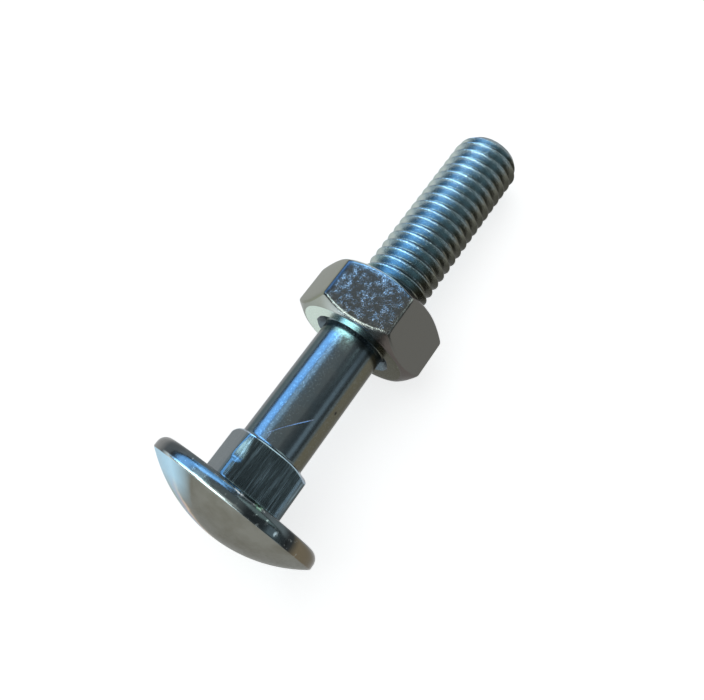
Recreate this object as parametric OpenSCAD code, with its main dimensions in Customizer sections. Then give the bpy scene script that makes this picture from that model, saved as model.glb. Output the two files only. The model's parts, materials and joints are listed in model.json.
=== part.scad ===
// Carriage bolt with its hexagon nut, in millimetres.
// It lies on its side on the plane z = 0: the rim of the head and one flat of the nut touch it.
// +X runs along the bolt from the head to the tip, and the origin is the middle of the box's foot.
// Each piece is drawn about its own axis, with z = 0 at the bearing face of the head.

/* [Head] */
// Width of the domed head across its rim
head_d = 24.2; // [20:0.1:32]
// Height of the rim, from the bearing face to the foot of the dome
rim_h = 1.9; // [1:0.05:4]
// Height of the dome above the rim
dome_h = 4; // [2:0.1:7]
// Rounding between the bearing face and the rim
rim_round = 1.25; // [0.4:0.05:1.6]
// Rounding of the edge between the rim and the dome
edge_round = 0.25; // [0.1:0.05:0.6]

/* [Square neck] */
// Width of the neck across its flats
neck_w = 9.75; // [9.2:0.05:14]
// Height of the neck
neck_h = 6.35; // [3:0.05:12]
// Radius of the neck's four long corners
neck_round = 1.45; // [0.2:0.05:3]
// Slope of the neck's end face towards its corners, in degrees
neck_slope = 25; // [5:1:45]
// Turn of the neck about the bolt, measured from the nut's upper flat, in degrees
neck_turn = 29; // [0:1:90]

/* [Shank and thread] */
// Length of the bolt from the bearing face of its head to its tip
bolt_length = 60.7; // [45:0.1:120]
// Thickness of the thread over its crests
thread_d = 9.84; // [8:0.02:12]
// Distance from one crest to the next
pitch = 1.5; // [1:0.25:2]
// Length of the plain part, neck included
plain_length = 23.9; // [15:0.1:80]
// Depth by which the plain shank lies inside the crests
shank_under = 0.42; // [0.1:0.02:0.8]
// Depth by which the tip's end face lies inside the root of the thread
tip_under = 0.15; // [0:0.05:1]
// Length of the chamfer at the tip
tip_chamfer = 1.4; // [0.5:0.1:3]
// Turn of the thread about the bolt, in degrees
thread_turn = 159; // [0:1:360]

/* [Nut] */
// Distance from the head's bearing face to the nut's
grip = 24; // [16:0.1:80]
// Width of the nut across its flats
nut_s = 17; // [15:0.5:24]
// Height of the nut
nut_h = 8; // [5:0.1:12]
// Width of the bevel of the nut's end faces, at the middle of a flat
nut_bevel = 0.45; // [0.1:0.05:1]
// Slope of that bevel, in degrees
nut_slope = 35; // [15:1:45]
// Depth by which the nut's six long corners are rounded off
nut_round = 0.1; // [0.02:0.02:0.4]
// Width of the countersink at each end of the nut's hole
sink_w = 0.7; // [0.2:0.01:1.2]
// Room all round between the nut and the crests of the thread
nut_play = 0.05; // [0.02:0.01:0.2]

/* [Show] */
// Part to build

/* [Hidden] */
$fn = 96;
over = 0.1;                             // overlap of pieces that are joined, and of cuts
bolt_colour = [0.62, 0.66, 0.70];
nut_colour = [0.60, 0.60, 0.57];

// head
rim_r = head_d / 2;
round_r = rim_r - rim_round;            // centre line of the rounding under the rim
edge_r = rim_r - edge_round;            // centre line of the rounding at the dome's edge
dome_r = (rim_r * rim_r + dome_h * dome_h) / (2 * dome_h);
dome_z = dome_r - dome_h - rim_h;       // centre of the dome's sphere
edge_z = dome_z - sqrt(pow(dome_r - edge_round, 2) - edge_r * edge_r);
touch = [0, dome_z] + [edge_r, edge_z - dome_z] * dome_r / (dome_r - edge_round);

// shank and thread: a 60 degree metric thread, with crests an eighth of the pitch wide
crest_r = thread_d / 2;
shank_r = crest_r - shank_under;
thread_depth = 0.6134 * pitch;
root_r = crest_r - thread_depth;
tip_r = root_r - tip_under;
crest_half = pitch / 16;
root_half = crest_half + thread_depth * tan(30);
turn_steps = 30;                        // steps in which one turn of the thread is drawn

// nut
nut_r = nut_s / 2;
corner_r = nut_r / cos(30);
long_r = corner_r - nut_round;
face_r = nut_r - nut_bevel;
flat_drop = nut_bevel * tan(nut_slope); // the bevel's depth at the middle of a flat
corner_drop = (long_r - face_r) * tan(nut_slope);
bore_r = crest_r + nut_play;

// how the bolt lies: the rounding of the rim and the far end of the nut's lower flat
// are at one height
fall = round_r - nut_r;
run = grip + nut_h - flat_drop + rim_round;
tilt = acos(-rim_round / norm([fall, run])) - atan2(run, fall);
axis_z = round_r * cos(tilt) - rim_round * sin(tilt) + rim_round;
back_x = dome_z * cos(tilt) - dome_r;
front_x = bolt_length * cos(tilt) + tip_r * sin(tilt);

// ---- head and neck ----

module quarter_round(r, z, size, side) {
    intersection() {
        translate([r, z]) circle(size);
        translate([r, side > 0 ? z : z - size]) square(size);
    }
}

module head_section() {
    polygon([[0, 0], [round_r, 0], [round_r, -rim_round], [rim_r, -rim_round],
             [rim_r, edge_z], [edge_r, edge_z], touch, [0, touch.y]]);
    quarter_round(round_r, -rim_round, rim_round, 1);
    quarter_round(edge_r, edge_z, edge_round, -1);
    intersection() {
        translate([0, dome_z]) circle(dome_r);
        translate([0, touch.y - 2 * dome_h]) square([touch.x, 2 * dome_h]);
    }
}

module head() {
    rotate_extrude() head_section();
}

module neck_square() {
    flat = neck_w - 2 * neck_round;
    square([neck_w, flat], center = true);
    square([flat, neck_w], center = true);
    for (x = [-flat / 2, flat / 2], y = [-flat / 2, flat / 2])
        translate([x, y]) circle(neck_round);
}

// the outline that the neck keeps inside: its end face slopes away towards the corners
module neck_outline() {
    wide = neck_w / sqrt(2);
    rotate_extrude()
        polygon([[0, -over], [wide, -over],
                 [wide, neck_h - (wide - shank_r) * tan(neck_slope)],
                 [shank_r - over, neck_h + over * tan(neck_slope)],
                 [0, neck_h + over * tan(neck_slope)]]);
}

module neck() {
    rotate([0, 0, neck_turn])
        intersection() {
            translate([0, 0, -over]) linear_extrude(neck_h + 3 * over) neck_square();
            neck_outline();
        }
}

// ---- shank and thread ----

module shank() {
    cylinder(r = shank_r, h = plain_length + over);
}

// the outline that the threaded end keeps inside: it swells from the shank and narrows at the tip
module thread_outline() {
    wide = crest_r + over;
    tip_slope = tip_chamfer / (crest_r - tip_r);
    rotate_extrude()
        polygon([[0, plain_length - over], [shank_r - over, plain_length - over],
                 [wide, plain_length + wide - shank_r],
                 [wide, bolt_length - tip_chamfer - over * tip_slope],
                 [tip_r, bolt_length], [0, bolt_length]]);
}

// the thread's own outline at one step: root, crest, crest, root
function thread_step(i, foot) =
    let (turn = thread_turn + 360 * i / turn_steps, mid = foot + pitch * i / turn_steps)
    [for (p = [[root_r, -root_half], [crest_r, -crest_half],
               [crest_r, crest_half], [root_r, root_half]])
        [p.x * cos(turn), p.x * sin(turn), mid + p.y]];

// a rod with a full right-hand thread, longer at both ends than the outline
module thread_rod() {
    foot = plain_length - 2 * pitch;
    turns = ceil((bolt_length - foot) / pitch) + 2;
    last = turns * turn_steps;
    low = 4 * (last + 1);               // the middle points of the rod's two ends
    high = low + 1;
    polyhedron(
        points = [for (i = [0:last]) each thread_step(i, foot),
                  [0, 0, foot], [0, 0, foot + pitch * (turns + 1)]],
        faces = [
            // lower flank, crest and upper flank
            for (i = [0:last - 1], k = [0:2])
                let (a = 4 * i + k) each [[a, a + 1, a + 5], [a, a + 5, a + 4]],
            // root, from one turn to the next
            for (i = [0:last - turn_steps - 1])
                let (a = 4 * i + 3, b = 4 * (i + turn_steps)) each [[a, b, b + 4], [a, b + 4, a + 4]],
            // lower end
            for (i = [0:turn_steps - 1]) [low, 4 * i + 4, 4 * i],
            for (k = [0:2]) [low, k, k + 1],
            [low, 3, 4 * turn_steps],
            // upper end
            for (i = [last - turn_steps:last - 1]) [high, 4 * i + 3, 4 * i + 7],
            for (k = [0:2]) [high, 4 * last + k + 1, 4 * last + k],
            [high, 4 * last, 4 * (last - turn_steps) + 3]],
        convexity = 10);
}

module bolt() {
    color(bolt_colour) {
        head();
        neck();
        shank();
        intersection() {
            thread_outline();
            thread_rod();
        }
    }
}

// ---- nut ----

module hexagon() {
    rotate([0, 0, 30])
        cylinder(r = corner_r, h = nut_h, $fn = 6);
}

module nut_outline() {
    rotate_extrude()
        polygon([[0, 0], [face_r, 0], [long_r, corner_drop],
                 [long_r, nut_h - corner_drop], [face_r, nut_h], [0, nut_h]]);
}

module nut_hole() {
    rotate_extrude()
        polygon([[0, -over], [bore_r + sink_w + over, -over], [bore_r, sink_w],
                 [bore_r, nut_h - sink_w], [bore_r + sink_w + over, nut_h + over],
                 [0, nut_h + over]]);
}

module nut() {
    color(nut_colour)
        translate([0, 0, grip])
            difference() {
                intersection() {
                    hexagon();
                    nut_outline();
                }
                nut_hole();
            }
}

// ---- the whole, lying on its side ----

module lie() {
    translate([-(back_x + front_x) / 2, 0, axis_z])
        rotate([0, 90 + tilt, 0])
            children();
}

lie() bolt();
lie() nut();
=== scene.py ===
"""A carriage bolt with its hexagon nut: the finished surfaces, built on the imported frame.

Each piece is drawn in millimetres about the bolt's own axis, as the part's source is: z runs from
the bearing face of the head to the tip, and -x is the side that faces up as the bolt lies.
"""

import json
import math

import bpy
import numpy as np
from mathutils import Euler, Matrix, Vector


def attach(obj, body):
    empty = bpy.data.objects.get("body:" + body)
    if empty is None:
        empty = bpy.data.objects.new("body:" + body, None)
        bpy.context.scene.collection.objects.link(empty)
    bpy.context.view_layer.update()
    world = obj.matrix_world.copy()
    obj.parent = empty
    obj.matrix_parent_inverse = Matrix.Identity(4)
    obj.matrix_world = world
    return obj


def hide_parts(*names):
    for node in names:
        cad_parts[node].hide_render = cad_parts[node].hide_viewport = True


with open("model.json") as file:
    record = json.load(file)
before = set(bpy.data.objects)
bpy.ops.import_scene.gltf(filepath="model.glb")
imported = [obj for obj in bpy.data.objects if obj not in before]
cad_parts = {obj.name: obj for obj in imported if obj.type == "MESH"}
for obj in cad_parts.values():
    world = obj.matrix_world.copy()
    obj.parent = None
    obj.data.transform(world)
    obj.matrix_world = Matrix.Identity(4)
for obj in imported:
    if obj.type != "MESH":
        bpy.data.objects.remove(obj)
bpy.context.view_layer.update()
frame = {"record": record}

MM = 0.001

# ---- sizes in millimetres and degrees, as in the part ----

HEAD_D, RIM_H, DOME_H = 24.2, 1.9, 4.0
RIM_ROUND, EDGE_ROUND = 1.25, 0.25
NECK_W, NECK_H, NECK_ROUND, NECK_SLOPE, NECK_TURN = 9.75, 6.35, 1.45, 25.0, 29.0
BOLT_LENGTH, THREAD_D, PITCH, PLAIN_LENGTH = 60.7, 9.84, 1.5, 23.9
SHANK_UNDER, TIP_UNDER, TIP_CHAMFER, THREAD_TURN = 0.42, 0.15, 1.4, 159.0
NUT_S, NUT_H, NUT_BEVEL, NUT_ROUND, NUT_SLOPE = 17.0, 8.0, 0.45, 0.1, 35.0
SINK_W, NUT_PLAY = 0.7, 0.05

# the outer radius of the flat bearing face
FACE_R = HEAD_D / 2 - RIM_ROUND
CREST_R = THREAD_D / 2
SHANK_R = CREST_R - SHANK_UNDER
# the depth of a metric thread
THREAD_DEPTH = 0.6134 * PITCH
ROOT_R = CREST_R - THREAD_DEPTH
TIP_R = ROOT_R - TIP_UNDER

# ---- finer sizes, which only the surfaces have ----

# the fillet at the neck's foot, and the roundings at the outer and inner edge of its end
NECK_FOOT, NECK_EDGE_CUT, NECK_ROOT_CUT = 0.35, 0.14, 0.25
# the corner of the neck that is rubbed flat: where it is, how deep, and from what height to what
RUB_TURN, RUB_DEPTH, RUB_LOW, RUB_HIGH = 168.0, 0.3, 2.3, 6.2
# how far round from there the rubbing may reach, and the rounding of its edges
RUB_REACH, RUB_SOFT = 40.0, 0.02
# how far past the plain length the thread starts to swell, and how softly the threads end at
# the tip's chamfer and the nut's countersinks
RUN_OUT, END_SOFT = 0.45, 0.08
# half the width of a crest and the rounding of the thread's corners, as shares of the pitch
CREST_HALF, THREAD_SOFT = 1 / 16, 0.04
# the rounding of the nut's long edges, and of the edges round its bevels
NUT_EDGE_SOFT, NUT_CUT = 0.05, 0.3
# the room between the bolt's crests and the root of the nut's thread
NUT_ROOT_PLAY = 0.12
# a point this near to a plane lies on it
NEAR = 0.001

# ---- where the bolt lies, from the record's bearing faces ----

MOUNTS = {m["name"]: m for m in frame["record"]["mounts"]}
HEAD_FACE = Vector(MOUNTS["head_bearing_face"]["pos_m"])
NUT_FACE = Vector(MOUNTS["nut_bearing_face"]["pos_m"])
AXIS = Vector(MOUNTS["head_bearing_face"]["axis"]).normalized()
UP = Vector((-AXIS.z, 0.0, AXIS.x))
GRIP = (NUT_FACE - HEAD_FACE).dot(AXIS) / MM
TURN = Matrix((-UP, AXIS.cross(-UP), AXIS)).transposed()

# angles about the axis: x points to 0 degrees, and these are the sides as seen from the head
LEFT, UPPER, RIGHT = 90.0, 180.0, 270.0


def along(origin):
    """From millimetres about the axis, as the lengths are given here, to where they lie."""
    return Matrix.Translation(origin) @ TURN.to_4x4()


# ---- surfaces made of rings round the axis ----


def corner_columns(turn, sides, steps, power=1.6):
    """Angles round the axis, in degrees, that crowd together at the corners of a polygon."""
    half = 180.0 / sides
    offsets = [half * (k / steps) ** power for k in range(steps + 1)]
    around = []
    for side in range(sides):
        corner = turn + half * (2 * side + 1)
        around += [corner + o for o in offsets[:-1]]
        around += [corner + 2 * half - o for o in reversed(offsets[1:])]
    return np.array(around) - around[0], around[0]


class Skin:
    """One closed surface: rings of points about the z axis, and the faces between them.

    Each face belongs to the zone that is set when it is made, which gives it its material."""

    def __init__(self, sides, turn, steps):
        self.rise, self.start = corner_columns(turn, sides, steps)
        self.angles = self.rise + self.start
        self.n = len(self.angles)
        self.points = []
        self.faces = []
        self.zones = []
        self.zone = 0
        # -1 turns the faces over, for a surface that looks inwards
        self.out = 1

    def add_points(self, r, z):
        r = np.broadcast_to(r, self.n).astype(float)
        z = np.broadcast_to(z, self.n).astype(float)
        first = len(self.points)
        t = np.radians(self.angles)
        self.points += list(zip(r * np.cos(t), r * np.sin(t), z))
        return list(range(first, first + self.n))

    def add_face(self, corners):
        self.faces.append(corners[:: self.out])
        self.zones.append(self.zone)

    def band(self, low, high):
        for j in range(self.n):
            k = (j + 1) % self.n
            self.add_face([low[j], low[k], high[k], high[j]])

    def sweep(self, profile, last=None):
        """Adds a ring for each (r, z) of the profile, joined to the ring before it."""
        for r, z in profile:
            ring = self.add_points(r, z)
            if last is not None:
                self.band(last, ring)
            last = ring
        return last

    def first_of(self, last, rings):
        """The first of some rings, given the last of them and how many there are."""
        return [i - (rings - 1) * self.n for i in last]

    def cap(self, ring, z, above):
        """Closes a ring with a fan to a point on the axis."""
        tip = len(self.points)
        self.points.append((0.0, 0.0, z))
        for j in range(len(ring)):
            k = (j + 1) % len(ring)
            self.add_face([ring[j], ring[k], tip] if above else [ring[k], ring[j], tip])

    def screw(self, foot, turns, steps, shape):
        """A grid whose rows rise by one pitch in each turn. shape(angle, z) gives r and z of
        points. Returns the loops of points that bound it below and above."""
        per_turn = len(steps)
        rows = turns * per_turn
        first = np.zeros((rows + per_turn + 1, self.n), int)
        for i in range(rows + per_turn + 1):
            count = self.n if i <= rows else 1
            z = foot + PITCH * (i // per_turn + steps[i % per_turn] + self.rise[:count] / 360)
            r, z = shape(self.angles[:count], z)
            t = np.radians(self.angles[:count])
            first[i, :count] = range(len(self.points), len(self.points) + count)
            self.points += list(zip(r * np.cos(t), r * np.sin(t), z))
        for i in range(rows):
            for j in range(self.n - 1):
                self.add_face(
                    [first[i, j], first[i, j + 1], first[i + 1, j + 1], first[i + 1, j]]
                )
            a, b = first[i + per_turn, 0], first[i + per_turn + 1, 0]
            self.add_face([first[i, -1], a, b, first[i + 1, -1]])
        low = list(first[0]) + list(first[per_turn:0:-1, 0])
        high = list(first[rows]) + list(first[rows + per_turn : rows : -1, 0])
        return low, high

    def stitch_below(self, ring, low):
        """Joins a plain ring to the lower loop of a screw grid above it."""
        for j in range(self.n - 1):
            self.add_face([ring[j], ring[j + 1], low[j + 1], low[j]])
        self.add_face([ring[-1], ring[0], low[0]] + low[: self.n - 1 : -1] + [low[self.n - 1]])

    def stitch_above(self, ring, high):
        """Joins a plain ring to the upper loop of a screw grid below it."""
        for j in range(1, self.n - 1):
            self.add_face([high[j], high[j + 1], ring[j + 1], ring[j]])
        self.add_face([high[self.n - 1], high[self.n], ring[0], ring[-1]])
        self.add_face(high[self.n :] + [high[0], high[1], ring[1], ring[0]])

    def mesh(self, name, origin, sharp=38.0):
        mesh = bpy.data.meshes.new(name)
        place = along(origin)
        points = [place @ (Vector(p) * MM) for p in self.points]
        mesh.from_pydata(points, [], [[int(i) for i in f] for f in self.faces])
        mesh.polygons.foreach_set("material_index", self.zones)
        mesh.shade_smooth()
        mesh.set_sharp_from_angle(angle=math.radians(sharp))
        return mesh


def arc(r, z, radius, start, end, steps):
    """Points on a circle about (r, z), from one angle to another, in degrees."""
    for k in range(steps + 1):
        t = math.radians(start + (end - start) * k / steps)
        yield r + radius * math.cos(t), z + radius * math.sin(t)


def line(start, end, steps):
    """Points after start, as far as end. Either may vary round the axis."""
    for k in range(1, steps + 1):
        t = k / steps
        yield start[0] + (end[0] - start[0]) * t, start[1] + (end[1] - start[1]) * t


def bend(start, corner, end, steps):
    """Points after start on a curve that rounds a corner."""
    for k in range(1, steps + 1):
        t = k / steps
        a, b, c = (1 - t) ** 2, 2 * t * (1 - t), t * t
        yield tuple(a * start[i] + b * corner[i] + c * end[i] for i in (0, 1))


def ramp(x, low, high):
    """0 before low, 1 past high, and smooth between. low may be the greater of the two."""
    t = np.clip((x - low) / (high - low), 0.0, 1.0)
    return t * t * (3 - 2 * t)


def soft_least(a, b, width):
    """The lesser of a and b, rounded over where they meet."""
    return 0.5 * (a + b - np.sqrt((a - b) ** 2 + width * width))


# ---- the thread ----

ROOT_START = CREST_HALF + THREAD_DEPTH * math.tan(math.radians(30)) / PITCH
# where the rows of a thread's grid lie, as shares of the pitch: closer where the flanks bend
STEPS_HALF = [0.0, 0.035, 0.06, 0.085, 0.115, 0.18, 0.25, 0.32, 0.375, 0.415, 0.455]
THREAD_STEPS = STEPS_HALF + [0.5] + [1 - s for s in STEPS_HALF[:0:-1]]


def crest_height(angle):
    """A height at which a crest passes an angle about the axis."""
    return PLAIN_LENGTH - 2 * PITCH + PITCH * (angle - THREAD_TURN) / 360


def groove_share(angle, z):
    """How deep the groove is, from 0 on a crest to 1 at the root, with soft corners."""
    turns = (z - crest_height(angle)) / PITCH
    d = np.abs(turns - np.round(turns))
    span = ROOT_START - CREST_HALF

    def summed(x):
        x = x - CREST_HALF
        inside = np.clip(x, 0, span)
        return inside * inside / (2 * span) + np.clip(x - span, 0, None)

    return (summed(d + THREAD_SOFT) - summed(d - THREAD_SOFT)) / (2 * THREAD_SOFT)


# ---- the bolt ----

DOME, RIM, NECK, NECK_END, SHANK, THREAD, TIP = range(7)


def neck_radius(angle):
    """The neck's own radius at angles about the axis: a square with rounded corners."""
    from_flat = np.abs(np.radians((angle - NECK_TURN + 45) % 90 - 45))
    half, middle = NECK_W / 2, NECK_W / 2 - NECK_ROUND
    far, off = middle * math.sqrt(2), math.pi / 4 - from_flat
    rounded = far * np.cos(off)
    rounded += np.sqrt(np.maximum(NECK_ROUND**2 - (far * np.sin(off)) ** 2, 0))
    return np.where(half * np.tan(from_flat) > middle, rounded, half / np.cos(from_flat))


def rubbed(r, z, angle):
    """The neck's radius where one of its corners is rubbed flat over part of its height."""
    corner = NECK_TURN + 135
    reach = (NECK_W / 2 - NECK_ROUND) * math.sqrt(2) * math.cos(math.radians(RUB_TURN - corner))
    full = RUB_LOW + 0.5
    depth = RUB_DEPTH * ramp(z, RUB_LOW, full) * (1 - ramp(z, full, RUB_HIGH))
    off = np.radians(np.clip(angle - RUB_TURN, -RUB_REACH, RUB_REACH))
    flat = (reach + NECK_ROUND - depth) / np.cos(off)
    near = np.abs(angle - RUB_TURN) < RUB_REACH
    return np.where(near, soft_least(r, flat, RUB_SOFT) + RUB_SOFT / 2, r)


def add_head(skin):
    """The dome and the rim, as far as the flat bearing face."""
    rim_r = HEAD_D / 2
    edge_r = rim_r - EDGE_ROUND
    dome_r = (rim_r**2 + DOME_H**2) / (2 * DOME_H)
    dome_z = dome_r - DOME_H - RIM_H
    edge_z = dome_z - math.sqrt((dome_r - EDGE_ROUND) ** 2 - edge_r**2)
    edge_turn = math.degrees(math.atan2(edge_z - dome_z, edge_r))

    skin.zone = DOME
    dome = list(arc(0, dome_z, dome_r, -90, edge_turn, 26))
    last = skin.sweep(dome[1:])
    skin.cap(skin.first_of(last, len(dome) - 1), dome[0][1], above=False)
    skin.zone = RIM
    last = skin.sweep(list(arc(edge_r, edge_z, EDGE_ROUND, edge_turn, 0, 6))[1:], last)
    return skin.sweep(arc(FACE_R, -RIM_ROUND, RIM_ROUND, 0, 90, 12), last)


def end_reach(neck_r, angles):
    """The length along the radius over which the neck's end slopes down: short on the flats,
    longer at the corners, and less so at the rubbed one."""
    low, high = neck_r.min(), neck_r.max()
    share = ((neck_r - low) / (high - low)) ** 1.5
    share *= 1 - 0.7 * ramp(np.abs(angles % 360 - RUB_TURN), 30, 15)
    return 0.8 * (low - SHANK_R) * (1 - share) + (high - SHANK_R) * share


def add_neck(skin, last):
    """The bearing face and the neck: a square with rounded corners, a fillet at its foot and a
    sloping end."""
    neck_r = neck_radius(skin.angles)
    foot = NECK_FOOT
    last = skin.sweep(line((FACE_R, 0), (neck_r + foot, 0), 5), last)
    skin.zone = NECK
    fillet = [
        (neck_r + foot - foot * math.sin(t), foot - foot * math.cos(t))
        for t in np.radians([22.5, 45, 67.5, 90])
    ]
    last = skin.sweep(fillet, last)
    slope = math.radians(NECK_SLOPE)
    edge = neck_r, NECK_H - end_reach(neck_r, skin.angles) * math.tan(slope)
    width = (neck_r - SHANK_R) / math.cos(slope)
    cut = np.minimum(NECK_EDGE_CUT, 0.4 * width)
    root = np.minimum(NECK_ROOT_CUT, 0.45 * width)
    below = edge[0], edge[1] - cut
    inside = edge[0] - cut * math.cos(slope), edge[1] + cut * math.sin(slope)
    sides = [(rubbed(r, z, skin.angles), z) for r, z in line((neck_r, foot), below, 24)]
    last = skin.sweep(sides, last)
    skin.zone = NECK_END
    last = skin.sweep(bend(below, edge, inside, 5), last)
    start = SHANK_R + root * math.cos(slope), NECK_H - root * math.sin(slope)
    last = skin.sweep(line(inside, start, 4), last)
    skin.zone = SHANK
    return skin.sweep(bend(start, (SHANK_R, NECK_H), (SHANK_R, NECK_H + NECK_ROOT_CUT), 4), last)


def add_thread(skin, last):
    """The shank and the thread that swells out of it. The rows of the thread's grid start on
    the shank, and the last of them go on over the flat end of the tip."""
    foot_z = PLAIN_LENGTH - 2 * PITCH
    shank = line((SHANK_R, NECK_H + NECK_ROOT_CUT), (SHANK_R, foot_z - 0.4), 10)
    last = skin.sweep(shank, last)
    foot_z += PITCH * (skin.start - THREAD_TURN) / 360 % PITCH - PITCH
    turns = math.ceil((BOLT_LENGTH - foot_z) / PITCH) + 1
    past = foot_z + PITCH * (turns + 1) - BOLT_LENGTH

    def shape(angle, z):
        # the rod swells first, and then the groove deepens
        above = z - PLAIN_LENGTH - RUN_OUT
        base = SHANK_R + SHANK_UNDER * ramp(above, 0.0, 0.5)
        deep = THREAD_DEPTH * ramp(above, 0.1, 1.4)
        r = base - deep * groove_share(angle, z)
        chamfer = TIP_R + (BOLT_LENGTH - z) * (CREST_R - TIP_R) / TIP_CHAMFER
        r = soft_least(r, chamfer, END_SOFT)
        on_end = z > BOLT_LENGTH
        share = np.clip(1 - (z - BOLT_LENGTH) / (past * 1.05), 0, 1)
        r = np.where(on_end, TIP_R * share, r)
        return r, np.minimum(z, BOLT_LENGTH)

    skin.zone = THREAD
    low, high = skin.screw(foot_z, turns, THREAD_STEPS, shape)
    skin.stitch_below(last, low)
    skin.zone = TIP
    skin.cap(high, BOLT_LENGTH, above=True)


def bolt_mesh():
    """The whole bolt. The thread's rows that lie on the shank or on the end take their zones."""
    skin = Skin(4, NECK_TURN, 16)
    add_thread(skin, add_neck(skin, add_head(skin)))
    height = np.array(skin.points)[:, 2]
    for i, face in enumerate(skin.faces):
        if skin.zones[i] == THREAD and height[face].mean() < PLAIN_LENGTH:
            skin.zones[i] = SHANK
        elif height[face].min() > BOLT_LENGTH - NEAR:
            skin.zones[i] = TIP
    return skin.mesh("bolt_surface", HEAD_FACE)


# ---- the nut ----

FLATS, BEVEL, FACES, INNER = range(4)


def nut_mesh():
    """The nut: its sides and bevels as rings, and its threaded hole as a screw grid."""
    skin = Skin(6, 0, 11)
    turned = np.radians((skin.angles + 30) % 60 - 30)
    flat_r = (NUT_S / 2) / np.cos(turned)
    long_r = NUT_S / 2 / math.cos(math.radians(30)) - NUT_ROUND
    side_r = soft_least(flat_r, long_r, NUT_EDGE_SOFT)
    face_r = NUT_S / 2 - NUT_BEVEL
    sink_r = CREST_R + NUT_PLAY + SINK_W
    slope = math.radians(NUT_SLOPE)
    drop = (side_r - face_r) * math.tan(slope)
    cut = NUT_CUT
    inset = cut * math.cos(slope), cut * math.sin(slope)

    def end(z, way):
        """Rounded points from the flat face at height z, over the bevel, to the flats."""
        rim = face_r, z
        start = face_r - cut, z
        after = face_r + inset[0], z + way * inset[1]
        before = side_r - inset[0], z + way * (drop - inset[1])
        edge = side_r, z + way * drop
        side = side_r, z + way * (drop + cut)
        bevel = [start] + list(bend(start, rim, after, 3)) + list(line(after, before, 3))
        return bevel, list(bend(before, edge, side, 3))

    low_bevel, low_side = end(0.0, 1)
    high_bevel, high_side = end(NUT_H, -1)
    skin.zone = BEVEL
    ring = skin.sweep(low_bevel)
    bottom = skin.first_of(ring, len(low_bevel))
    skin.zone = FLATS
    ring = skin.sweep(low_side, ring)
    ring = skin.sweep(line(low_side[-1], high_side[-1], 8), ring)
    ring = skin.sweep(high_side[-2::-1], ring)
    skin.zone = BEVEL
    top = skin.sweep(high_bevel[::-1], ring)

    # the hole: its first and last rows spread over the flat faces round the countersinks
    spread = (face_r - sink_r - 0.5) / (1.2 * PITCH)
    minor_r = CREST_R - 0.5 * PITCH
    lowest = GRIP - PITCH * 1.1
    foot_z = lowest + (crest_height(skin.start) - lowest) % PITCH - PITCH
    turns = math.ceil((GRIP + NUT_H - foot_z) / PITCH)

    def shape(angle, z):
        inner = CREST_R + NUT_ROOT_PLAY - THREAD_DEPTH * groove_share(angle, z)
        inner = np.maximum(inner, minor_r)
        h = z - GRIP
        sink = sink_r - np.minimum(h, NUT_H - h)
        r = -soft_least(-inner, -sink, END_SOFT)
        past = np.maximum(-h, h - NUT_H)
        r = np.where(past > 0, sink_r + np.clip(past, 0, None) * spread, r)
        return r, np.clip(h, 0, NUT_H)

    skin.zone = INNER
    skin.out = -1
    low, high = skin.screw(foot_z, turns, THREAD_STEPS, shape)
    skin.zone = FACES
    skin.stitch_below(bottom, low)
    skin.stitch_above(top, high)
    height = np.array(skin.points)[:, 2]
    for i, face in enumerate(skin.faces):
        ends = abs(height[face].mean() - NUT_H / 2) > NUT_H / 2 - NEAR
        if skin.zones[i] == INNER and ends:
            skin.zones[i] = FACES
    return skin.mesh("nut_surface", NUT_FACE)


# ---- materials ----

BLUE_ZINC = (0.14, 0.18, 0.205, 1)
PALE_ZINC = (0.2, 0.24, 0.26, 1)
DARK_ZINC = (0.07, 0.09, 0.105, 1)
OLIVE_ZINC = (0.13, 0.126, 0.096, 1)
GREY_ZINC = (0.175, 0.175, 0.15, 1)
# what the plate reflects at a grazing angle, less than white because it is slightly dull
EDGE_TINT = (0.6, 0.6, 0.6, 1)


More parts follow.
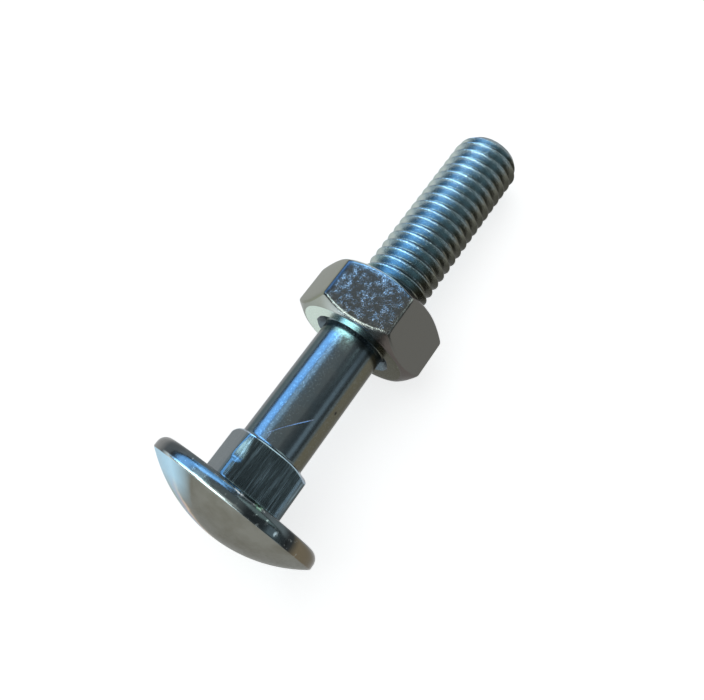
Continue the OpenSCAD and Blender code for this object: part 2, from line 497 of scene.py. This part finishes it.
class Nodes:
    """A small help for wiring shader nodes. Places are in millimetres about the bolt's axis."""

    def __init__(self, name):
        self.material = bpy.data.materials.new(name)
        self.material.use_nodes = True
        self.tree = self.material.node_tree
        self.tree.nodes.clear()
        self.out = self.tree.nodes.new("ShaderNodeOutputMaterial")

    def add(self, kind, inputs=None, **settings):
        node = self.tree.nodes.new("ShaderNode" + kind)
        for key, value in settings.items():
            setattr(node, key, value)
        for key, value in (inputs or {}).items():
            if isinstance(value, bpy.types.NodeSocket):
                self.tree.links.new(value, node.inputs[key])
            else:
                node.inputs[key].default_value = value
        return node

    def place(self, scale=(1, 1, 1)):
        """Coordinates in millimetres about the bolt's axis, stretched by scale."""
        inputs = {"Vector": self.add("TexCoord").outputs["Object"], "Location": HEAD_FACE}
        inputs["Rotation"] = TURN.to_euler()
        inputs["Scale"] = tuple(MM * s for s in scale)
        return self.add("Mapping", inputs, vector_type="TEXTURE").outputs[0]

    def noise(self, at, scale, detail=3.0, rough=0.55):
        inputs = {"Vector": at, "Scale": scale, "Detail": detail, "Roughness": rough}
        return self.add("TexNoise", inputs).outputs["Fac"]

    def spread(self, value, low, high, out_low=0.0, out_high=1.0):
        inputs = {0: value, 1: low, 2: high, 3: out_low, 4: out_high}
        return self.add("MapRange", inputs).outputs[0]

    def mix(self, share, a, b):
        inputs = {0: share, 6: a, 7: b}
        return self.add("Mix", inputs, data_type="RGBA").outputs[2]

    def ramp(self, value, stops):
        node = self.add("ValToRGB", {"Fac": value})
        elements = node.color_ramp.elements
        for place, colour in stops[1:-1]:
            elements.new(place).color = colour
        elements[0].color, elements[-1].color = stops[0][1], stops[-1][1]
        return node.outputs[0]

    def math(self, operation, a, b=0.5):
        return self.add("Math", {0: a, 1: b}, operation=operation).outputs[0]

    def times(self, a, b):
        return self.math("MULTIPLY", a, b)

    def vector(self, operation, *parts):
        """A vector worked out from others."""
        inputs = dict(enumerate(parts))
        return self.add("VectorMath", inputs, operation=operation).outputs["Vector"]

    def measure(self, operation, *parts):
        """A number worked out from vectors, such as a length or a dot product."""
        inputs = dict(enumerate(parts))
        return self.add("VectorMath", inputs, operation=operation).outputs["Value"]

    def height(self, at):
        """How far a place lies along the axis."""
        return self.add("SeparateXYZ", {0: at}).outputs["Z"]

    def from_axis(self, at):
        """How far a place lies from the axis."""
        return self.measure("LENGTH", self.vector("MULTIPLY", at, (1, 1, 0)))

    def facing(self, at, angle):
        """1 where a point lies at this angle about the axis, down to -1 on the far side."""
        unit = self.vector("NORMALIZE", self.vector("MULTIPLY", at, (1, 1, 0)))
        t = math.radians(angle)
        return self.measure("DOT_PRODUCT", unit, (math.cos(t), math.sin(t), 0))

    def paint_light_by_side(self, at, colour, painted_lights):
        """Paints light and shade into the colour: mixes in each (angle, low, high, colour) round
        the side that the angle points to, as painted reflections and painted shade.
        """
        for angle, low, high, painted_light in painted_lights:
            colour = self.mix(self.spread(self.facing(at, angle), low, high), colour, painted_light)
        return colour

    def stroke(self, at, start, end, width):
        """1 along a straight mark on the upper side, between two places given as (y, z)."""
        start, end = Vector(start), Vector(end)
        way = (end - start).normalized()
        across = Vector((-way.y, way.x))
        u = self.measure("DOT_PRODUCT", at, (0, way.x, way.y))
        v = self.measure("DOT_PRODUCT", at, (0, across.x, across.y))
        off = self.math("ABSOLUTE", self.math("SUBTRACT", v, start.dot(across)))
        mark = self.spread(off, width * 0.4, width, 1.0, 0.0)
        first, last = start.dot(way), end.dot(way)
        mark = self.times(mark, self.spread(u, first - width, first))
        mark = self.times(mark, self.spread(u, last + width, last))
        upper = self.spread(self.add("SeparateXYZ", {0: at}).outputs["X"], 0.0, -1.0)
        return self.times(mark, upper)

    def spot(self, at, centre, size):
        """1 near a place, down to 0 at a distance of size."""
        return self.spread(self.measure("DISTANCE", at, centre), size * 0.45, size, 1.0, 0.0)

    def cloudy(self, cloud, dark, light):
        """A tint that drifts from dark to light with a slow noise."""
        return self.mix(self.spread(cloud, 0.35, 0.65), dark, light)

    def gloss(self, fine, low, high):
        """A roughness that varies with a fine noise."""
        return self.spread(fine, 0.3, 0.7, low, high)

    def bump(self, height, distance, strength=1.0, under=None):
        inputs = {"Height": height, "Distance": distance, "Strength": strength}
        if under is not None:
            inputs["Normal"] = under
        return self.add("Bump", inputs).outputs[0]

    def waves(self, at, fine, wave, grain, scale=0.6):
        """A surface that is slightly wavy, with a finer grain on it. Depths in millimetres."""
        slow = self.bump(self.noise(at, scale, 1.0), wave * MM)
        return self.bump(fine, grain * MM, 1.0, slow)

    def metal(self, colour, rough, normal):
        inputs = {"Base Color": colour, "Roughness": rough, "Metallic": 1.0, "Normal": normal}
        inputs["Specular Tint"] = EDGE_TINT
        shader = self.add("BsdfPrincipled", inputs)
        self.tree.links.new(shader.outputs[0], self.out.inputs["Surface"])
        return self.material


def plated(name, dark, light, rough, painted_lights=()):
    """Smooth zinc plate: cloudy in tint and gloss, with a slight waviness, and any painted
    reflections and painted shade that are given round its sides.
    """
    n = Nodes(name)
    at = n.place()
    cloud = n.noise(at, 0.35)
    fine = n.noise(at, 3.0, 5.0)
    # painted reflections and painted shade round the sides, where any are given
    colour = n.paint_light_by_side(at, n.cloudy(cloud, dark, light), painted_lights)
    gloss = n.gloss(fine, rough * 0.85, rough * 1.2)
    return n.metal(colour, gloss, n.waves(at, fine, 0.006, 0.0015))


def shank_plate():
    """The plain shank: fine specks painted as glints, a place of wear next to the nut painted with
    a bright glint, one long scratch, a short one and a small pit, with darker and paler stripes
    along its sides that are painted reflections and painted shade."""
    n = Nodes("zinc_shank")
    at = n.place()
    cloud = n.noise(at, 0.35)
    fine = n.noise(at, 3.0, 5.0)
    # painted glints: pale specks on the upper side of the shank
    glint_speck = n.spread(n.noise(at, 4.0, 3.0, 0.8), 0.56, 0.62)
    glint_speck = n.times(glint_speck, n.spread(n.facing(at, 172), 0.93, 0.985, 0.15, 1.0))
    scratch = n.stroke(at, (-2.75, 12.1), (0.75, 7.55), 0.055)
    short = n.stroke(at, (0.47, 7.7), (0.47, 6.5), 0.05)
    marks = n.math("MAXIMUM", scratch, short)
    pit = n.spot(at, (-1.82, -4.12, 14.63), 0.3)
    colour = n.cloudy(cloud, BLUE_ZINC, (0.165, 0.195, 0.21, 1))
    # painted reflections and painted shade: darker and paler stripes round the sides
    painted_lights = [
        (RIGHT, 0.38, 0.5, (0.11, 0.142, 0.16, 1)),
        (RIGHT, 0.69, 0.75, (0.075, 0.095, 0.1, 1)),
        (RIGHT, 0.79, 0.85, (0.095, 0.09, 0.064, 1)),
        (LEFT, 0.5, 0.68, (0.07, 0.1, 0.107, 1)),
        (LEFT, 0.75, 0.82, (0.19, 0.205, 0.21, 1)),
    ]
    colour = n.paint_light_by_side(at, colour, painted_lights)
    # a place of wear next to the nut, painted with a bright glint
    wear_and_glint = n.spread(n.height(at), 21.0, 22.6)
    wear_and_glint = n.times(wear_and_glint, n.spread(n.facing(at, 176), 0.93, 0.99))
    wear_and_glint = n.times(wear_and_glint, n.spread(fine, 0.35, 0.6, 0.2, 1.0))
    colour = n.mix(wear_and_glint, colour, (0.42, 0.58, 0.58, 1))
    colour = n.mix(n.times(glint_speck, 0.7), colour, (0.34, 0.42, 0.46, 1))
    colour = n.mix(n.times(marks, 0.85), colour, (0.32, 0.39, 0.56, 1))
    colour = n.mix(pit, colour, (0.03, 0.028, 0.025, 1))
    normal = n.waves(at, fine, 0.006, 0.002)
    normal = n.bump(n.math("MAXIMUM", marks, pit), -0.03 * MM, 1.0, normal)
    return n.metal(colour, n.gloss(fine, 0.17, 0.24), normal)


def neck_sides():
    """The flats of the neck: fine marks drawn along the bolt, fainter on two of its sides, with
    painted reflections and painted shade round them.
    """
    n = Nodes("zinc_drawn")
    marks = n.noise(n.place((1, 1, 60)), 9.0, 3.0, 0.75)
    cloud = n.noise(n.place((1, 1, 10)), 1.4)
    light = n.spread(n.times(marks, cloud), 0.25, 0.4)
    colour = n.mix(light, (0.07, 0.092, 0.1, 1), (0.23, 0.3, 0.34, 1))
    at = n.place()
    # painted reflections on two whole sides, and then painted shade as a dark stripe and a painted
    # highlight as a bright line beside one corner
    painted_lights = [
        (NECK_TURN + 90, 0.7, 0.74, (0.11, 0.145, 0.16, 1)),
        (NECK_TURN + 270, 0.7, 0.74, (0.07, 0.07, 0.055, 1)),
        (NECK_TURN + 235, 0.985, 0.992, (0.04, 0.045, 0.042, 1)),
        (NECK_TURN + 217, 0.9993, 0.9998, (0.2, 0.27, 0.32, 1)),
    ]
    colour = n.paint_light_by_side(at, colour, painted_lights)
    plain = n.math("MAXIMUM", n.facing(at, NECK_TURN + 90), n.facing(at, NECK_TURN + 270))
    marks = n.times(marks, n.spread(plain, 0.66, 0.74, 1.0, 0.25))
    return n.metal(colour, n.gloss(marks, 0.2, 0.36), n.bump(marks, 0.03 * MM))


def thread_plate():
    """The thread: painted shade at its root, crests paler with wear and with painted highlights,
    painted reflections on its flanks, bright specks painted as glints, and painted reflections and
    painted shade round its sides.
    """
    n = Nodes("zinc_thread")
    at = n.place()
    fine = n.noise(at, 3.0, 5.0, 0.65)
    height = n.spread(n.from_axis(at), ROOT_R + 0.25, CREST_R - 0.02)
    height = n.math("ADD", height, n.spread(fine, 0.3, 0.7, -0.2, 0.2))
    glint_speck = n.spread(n.noise(at, 6.0, 3.0, 0.8), 0.53, 0.6)
    glint_speck = n.times(glint_speck, n.spread(height, 0.3, 1.0, 0.3, 1.0))
    # painted shade at the root, and crests paler with wear and a painted highlight
    colour = n.mix(n.spread(height, 0, 1), (0.078, 0.108, 0.123, 1), (0.21, 0.272, 0.3, 1))
    # below 0 on the flanks that face the head, and above 0 on those that face the tip; each set of
    # flanks gets a painted reflection
    lean = n.measure("DOT_PRODUCT", n.add("NewGeometry").outputs["Normal"], AXIS)
    colour = n.mix(n.spread(lean, -0.3, -0.75), colour, (0.33, 0.44, 0.48, 1))
    colour = n.mix(n.spread(lean, 0.3, 0.75), colour, (0.22, 0.295, 0.325, 1))
    # painted glints: bright specks on the crests
    colour = n.mix(n.times(glint_speck, 0.8), colour, (0.7, 0.8, 0.84, 1))
    # painted shade towards the left and right sides
    left, right = n.spread(n.facing(at, LEFT), 0.3, 0.5), n.spread(n.facing(at, RIGHT), 0.24, 0.36)
    dim = n.times(n.math("MAXIMUM", left, right), 0.35)
    colour = n.mix(dim, colour, (0.06, 0.08, 0.09, 1))
    # painted reflections and painted shade round the sides
    painted_lights = [
        (RIGHT, 0.6, 0.85, (0.13, 0.133, 0.108, 1)),
        (RIGHT, 0.84, 0.97, (0.06, 0.06, 0.047, 1)),
        (LEFT, 0.74, 0.88, (0.42, 0.48, 0.46, 1)),
    ]
    colour = n.paint_light_by_side(at, colour, painted_lights)
    normal = n.bump(fine, 0.05 * MM)
    normal = n.bump(n.noise(at, 9.0, 2.0), 0.012 * MM, 1.0, normal)
    return n.metal(colour, n.gloss(fine, 0.18, 0.28), normal)


# small painted glints on the rim: where they are, how large, and their tint
PAINTED_RIM_GLINTS = [
    ((-11.3, -2.4, -0.25), 0.75, (0.9, 0.95, 0.95, 1)),
    ((-10.3, -4.9, -0.2), 0.7, (0.3, 0.6, 0.42, 1)),
    ((-9.1, -7.9, -1.4), 0.35, (0.6, 0.7, 0.72, 1)),
]


def rim_plate():
    """The rim of the head: a painted highlight along its edge with the dome, painted shade towards
    the bearing face, painted reflections and painted shade round its sides, and a few painted
    glints."""
    n = Nodes("zinc_rim")
    at = n.place()
    cloud = n.noise(at, 0.35)
    fine = n.noise(at, 2.6, 5.0)
    colour = n.cloudy(cloud, (0.13, 0.16, 0.17, 1), (0.155, 0.185, 0.195, 1))
    height = n.height(at)
    # painted shade towards the bearing face
    uneven = n.math("ADD", height, n.spread(fine, 0.3, 0.7, -0.15, 0.15))
    colour = n.mix(n.spread(uneven, -1.1, -0.5), colour, (0.08, 0.098, 0.105, 1))
    # painted reflections and painted shade round the sides
    painted_lights = [
        (RIGHT, 0.0, 0.12, (0.14, 0.17, 0.18, 1)),
        (RIGHT, 0.26, 0.38, (0.07, 0.085, 0.09, 1)),
        (RIGHT, 0.5, 0.6, (0.085, 0.108, 0.115, 1)),
        (RIGHT, 0.7, 0.76, (0.025, 0.029, 0.03, 1)),
        (RIGHT, 0.8, 0.86, (0.13, 0.108, 0.072, 1)),
        (LEFT, 0.45, 0.54, (0.065, 0.075, 0.08, 1)),
        (LEFT, 0.68, 0.78, (0.19, 0.195, 0.19, 1)),
    ]
    colour = n.paint_light_by_side(at, colour, painted_lights)
    colour = n.mix(n.spread(height, -0.2, -0.05), colour, (0.085, 0.102, 0.11, 1))
    # a painted highlight along the edge with the dome
    edge = n.times(n.spread(height, -1.6, -1.72), n.spread(n.facing(at, 168), 0.84, 0.92))
    colour = n.mix(edge, colour, (0.55, 0.62, 0.62, 1))
    broken = n.spread(fine, 0.4, 0.55)
    for centre, size, tint in PAINTED_RIM_GLINTS:
        colour = n.mix(n.times(n.spot(at, centre, size), broken), colour, tint)
    # painted glints scattered over the upper side
    glint = n.spread(n.noise(at, 1.6, 3.0, 0.7), 0.62, 0.7)
    glint = n.times(glint, n.spread(n.facing(at, 195), 0.6, 0.9))
    colour = n.mix(n.times(glint, 0.7), colour, (0.5, 0.55, 0.55, 1))
    return n.metal(colour, n.gloss(fine, 0.17, 0.25), n.waves(at, fine, 0.02, 0.006))


# how the dome's tint changes towards its left edge: the colours of a thin clear film on the plate,
# painted as a sheen on that side only
DOME_FILM_AND_SHEEN = [
    (0.0, GREY_ZINC),
    (0.12, (0.27, 0.235, 0.18, 1)),
    (0.2, (0.72, 0.56, 0.41, 1)),
    (0.31, (0.47, 0.42, 0.5, 1)),
    (0.43, (0.37, 0.48, 0.55, 1)),
    (0.7, (0.34, 0.42, 0.38, 1)),
    (1.0, (0.22, 0.24, 0.2, 1)),
]


def dome_plate():
    """The dome: olive-grey plate, painted paler towards its right edge as painted light, with a
    painted pale blue reflection on its left and a faint iridescent film tint there that is painted
    as a sheen on that side only."""
    n = Nodes("zinc_dome")
    at = n.place()
    cloud = n.noise(at, 0.3)
    fine = n.noise(at, 2.5, 5.0)
    away = n.from_axis(at)
    colour = n.cloudy(cloud, OLIVE_ZINC, GREY_ZINC)
    # painted light: paler towards the right edge
    light = n.mix(n.spread(cloud, 0.4, 0.6), (0.165, 0.162, 0.135, 1), (0.205, 0.205, 0.178, 1))
    near = n.times(n.spread(away, 6.0, 10.0), n.spread(n.facing(at, 205), 0.5, 1))
    colour = n.mix(near, colour, light)
    # a thin film's tint, painted as a sheen on the left side
    lean = n.measure("DOT_PRODUCT", at, (0.85, 1.0, 0.0))
    lean = n.math("ADD", lean, n.spread(cloud, 0, 1, 6.2, 9.7))
    shift = n.spread(lean, 5.0, 13.0)
    colour = n.mix(n.spread(shift, 0.0, 0.15), colour, n.ramp(shift, DOME_FILM_AND_SHEEN))
    # a painted reflection: pale blue towards the left edge
    pale = n.times(n.spread(n.facing(at, 125), 0.76, 0.93), n.spread(away, 6.5, 10.0))
    colour = n.mix(n.times(pale, 0.95), colour, (0.5, 0.76, 0.92, 1))
    return n.metal(colour, n.gloss(fine, 0.28, 0.38), n.waves(at, fine, 0.012, 0.004, 0.5))


def nut_flats():
    """The flats of the nut: dark plate with a frosty grain whose flecks are painted as pale
    glints, plainer on the flats to the left and right, with painted reflections and painted shade
    round its sides."""
    n = Nodes("zinc_frosted")
    at = n.place()
    patch = n.spread(n.noise(at, 1.1, 3.0), 0.4, 0.64, 0.1, 1.0)
    fleck = n.noise(at, 9.0, 3.0, 0.75)
    # painted glints: pale flecks over the frosty grain
    bright = n.times(n.spread(fleck, 0.53, 0.62), patch)
    colour = n.mix(bright, (0.13, 0.138, 0.135, 1), (0.72, 0.7, 0.68, 1))
    # painted shade as a dark line along one long edge, and then painted reflections on two pairs
    # of sides
    painted_lights = [
        (150, 0.9982, 0.9993, (0.045, 0.053, 0.064, 1)),
        (RIGHT, 0.5, 0.52, (0.105, 0.103, 0.093, 1)),
        (LEFT, 0.5, 0.52, (0.22, 0.235, 0.185, 1)),
    ]
    colour = n.paint_light_by_side(at, colour, painted_lights)
    side = n.math("ABSOLUTE", n.facing(at, LEFT))
    rough = n.times(patch, n.spread(side, 0.48, 0.52, 1.0, 0.1))
    normal = n.bump(n.times(fleck, rough), 0.022 * MM)
    return n.metal(colour, n.gloss(fleck, 0.15, 0.22), normal)


def bolt_materials():
    """One for each zone of the bolt, in their order."""
    shank = shank_plate()
    # the neck's sloping end is painted much paler than the plate elsewhere, as a painted highlight
    end = plated("zinc_neck_end", (0.3, 0.38, 0.46, 1), (0.4, 0.5, 0.58, 1), 0.22)
    tip = plated("zinc_tip", BLUE_ZINC, PALE_ZINC, 0.25)
    return [dome_plate(), rim_plate(), neck_sides(), end, shank, thread_plate(), tip]


def nut_materials():
    """One for each zone of the nut, in their order."""
    # painted highlight on the upper side, and painted reflections and painted shade on the left
    # and right
    bevel_painted_lights = [
        (UPPER, 0.55, 0.9, (0.6, 0.68, 0.68, 1)),
        (RIGHT, 0.1, 0.5, (0.1, 0.088, 0.08, 1)),
        (LEFT, 0.1, 0.6, (0.3, 0.325, 0.29, 1)),
    ]
    # painted reflection on the upper side, and painted reflections and painted shade on the left
    # and right
    face_painted_lights = [
        (UPPER, 0.5, 0.9, (0.65, 0.85, 0.9, 1)),
        (RIGHT, 0.1, 0.5, (0.075, 0.073, 0.045, 1)),
        (LEFT, 0.1, 0.5, (0.68, 0.8, 0.72, 1)),
    ]
    dark, light = (0.16, 0.165, 0.155, 1), (0.2, 0.21, 0.2, 1)
    bevel = plated("zinc_bevel", dark, light, 0.22, bevel_painted_lights)
    dark, light = (0.15, 0.16, 0.14, 1), (0.19, 0.2, 0.18, 1)
    face = plated("zinc_face", dark, light, 0.26, face_painted_lights)
    inner = plated("zinc_nut_thread", DARK_ZINC, BLUE_ZINC, 0.26)
    return [nut_flats(), bevel, face, inner]


def add_piece(name, mesh, materials, node):
    """A piece that stands for a node and rides on the body of the same name."""
    piece = bpy.data.objects.new(name, mesh)
    bpy.context.scene.collection.objects.link(piece)
    for material in materials:
        mesh.materials.append(material)
    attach(piece, node)
    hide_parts(node)
    return piece


bolt = add_piece("bolt_surface", bolt_mesh(), bolt_materials(), "bolt")
nut = add_piece("nut_surface", nut_mesh(), nut_materials(), "nut")

# ---- floor ----


def add_floor():
    """A pale floor. The eye, metal and glass see it near white, and it keeps the shadow."""
    half = 3.0
    mesh = bpy.data.meshes.new("floor")
    corners = [(-half, -half, 0), (half, -half, 0), (half, half, 0), (-half, half, 0)]
    mesh.from_pydata(corners, [], [(0, 1, 2, 3)])
    floor = bpy.data.objects.new("floor", mesh)
    bpy.context.scene.collection.objects.link(floor)
    n = Nodes("floor_white")
    rays = n.add("LightPath").outputs
    seen = n.math("MAXIMUM", rays["Is Camera Ray"], rays["Is Glossy Ray"])
    seen = n.math("MAXIMUM", seen, rays["Is Transmission Ray"])
    matt = n.add("BsdfDiffuse", {"Color": (0.9, 0.9, 0.9, 1)})
    glow = n.add("Emission", {"Color": (0.72, 0.72, 0.72, 1), "Strength": seen})
    both = n.add("AddShader", {0: matt.outputs[0], 1: glow.outputs[0]})
    n.tree.links.new(both.outputs[0], n.out.inputs["Surface"])
    mesh.materials.append(n.material)
    return floor


floor = add_floor()

# ---- light: a dim studio with soft boxes ----

LAMP_DISTANCE = 0.45


def lit_group(name, members):
    group = bpy.data.collections.new(name)
    for member in members:
        group.objects.link(member)
    return group


PIECES = lit_group("lit_pieces", [bolt, nut])
FLOOR = lit_group("lit_floor", [floor])


def soft_box(name, azimuth, elevation, width, height, level, colour, lights=PIECES):
    """An area lamp that faces the object. level is how bright it looks: 1 is white.
    The tinted boxes light the pieces only, so that the floor stays neutral."""
    lamp = bpy.data.lights.new(name, "AREA")
    lamp.shape = "RECTANGLE"
    lamp.size, lamp.size_y = width, height
    lamp.energy = level * math.pi * width * height
    lamp.color = colour
    obj = bpy.data.objects.new(name, lamp)
    bpy.context.scene.collection.objects.link(obj)
    a, e = math.radians(azimuth), math.radians(elevation)
    way = Vector((math.cos(e) * math.cos(a), math.cos(e) * math.sin(a), math.sin(e)))
    obj.location = way * LAMP_DISTANCE
    obj.rotation_euler = way.to_track_quat("Z", "Y").to_euler()
    obj.light_linking.receiver_collection = lights


# azimuth and elevation in degrees, width and height in metres, level, tint
soft_box("sky_low", 24, 12, 0.30, 0.14, 4.0, (0.22, 0.55, 1.0))
soft_box("sky_tip", 34, 36, 0.32, 0.22, 6.0, (0.26, 0.56, 1.0))
soft_box("sky_side", 76, 27, 0.36, 0.21, 3.9, (0.22, 0.52, 1.0))
soft_box("sky_haze", 80, 52, 0.30, 0.13, 1.2, (0.58, 0.8, 1.0))
soft_box("pale_side", 112, 42, 0.17, 0.36, 5.0, (0.78, 1.0, 1.0))
soft_box("pale_high", 155, 55, 0.22, 0.34, 5.0, (0.88, 1.0, 0.95))
soft_box("head_low", 170, 14, 0.26, 0.15, 2.6, (0.85, 0.95, 1.0))
soft_box("head_end", 212, 30, 0.34, 0.26, 0.2, (0.97, 1.0, 0.94))
soft_box("far_side", 262, 25, 0.40, 0.12, 0.75, (0.78, 0.91, 1.0))
soft_box("far_tip", 322, 28, 0.30, 0.30, 1.2, (0.84, 1.0, 0.95))
soft_box("overhead", 0, 82, 0.40, 0.40, 0.2, (1.0, 0.97, 0.86))
soft_box("floor_light", 60, 65, 0.50, 0.50, 0.8, (1.0, 1.0, 1.0), FLOOR)

STUDIO_GREY = (0.19, 0.205, 0.21, 1)

world = bpy.data.worlds.new("studio")
world.use_nodes = True
world.node_tree.nodes["Background"].inputs["Color"].default_value = STUDIO_GREY
bpy.context.scene.world = world

# ---- camera ----


def add_camera(at, aim, roll, lens, shift):
    """at and aim are in millimetres from the frame's origin, under the middle of the bolt."""
    camera = bpy.data.cameras.new("camera")
    camera.lens = lens
    camera.shift_x, camera.shift_y = shift
    camera.clip_start = 0.005
    camera.clip_end = 20.0
    obj = bpy.data.objects.new("camera", camera)
    bpy.context.scene.collection.objects.link(obj)
    look = (Vector(aim) - Vector(at)).to_track_quat("-Z", "Y").to_matrix()
    turn = look @ Euler((0, 0, math.radians(roll))).to_matrix()
    obj.matrix_world = Matrix.Translation(Vector(at) * MM) @ turn.to_4x4()
    bpy.context.scene.camera = obj


add_camera(
    at=(-20.51, -21.48, 104.23),
    aim=(3.417, 10.925, 10.0),
    roll=-19.25,
    lens=37.27,
    shift=(0.0518, -0.1271),
)

bpy.context.scene.view_settings.view_transform = "Standard"
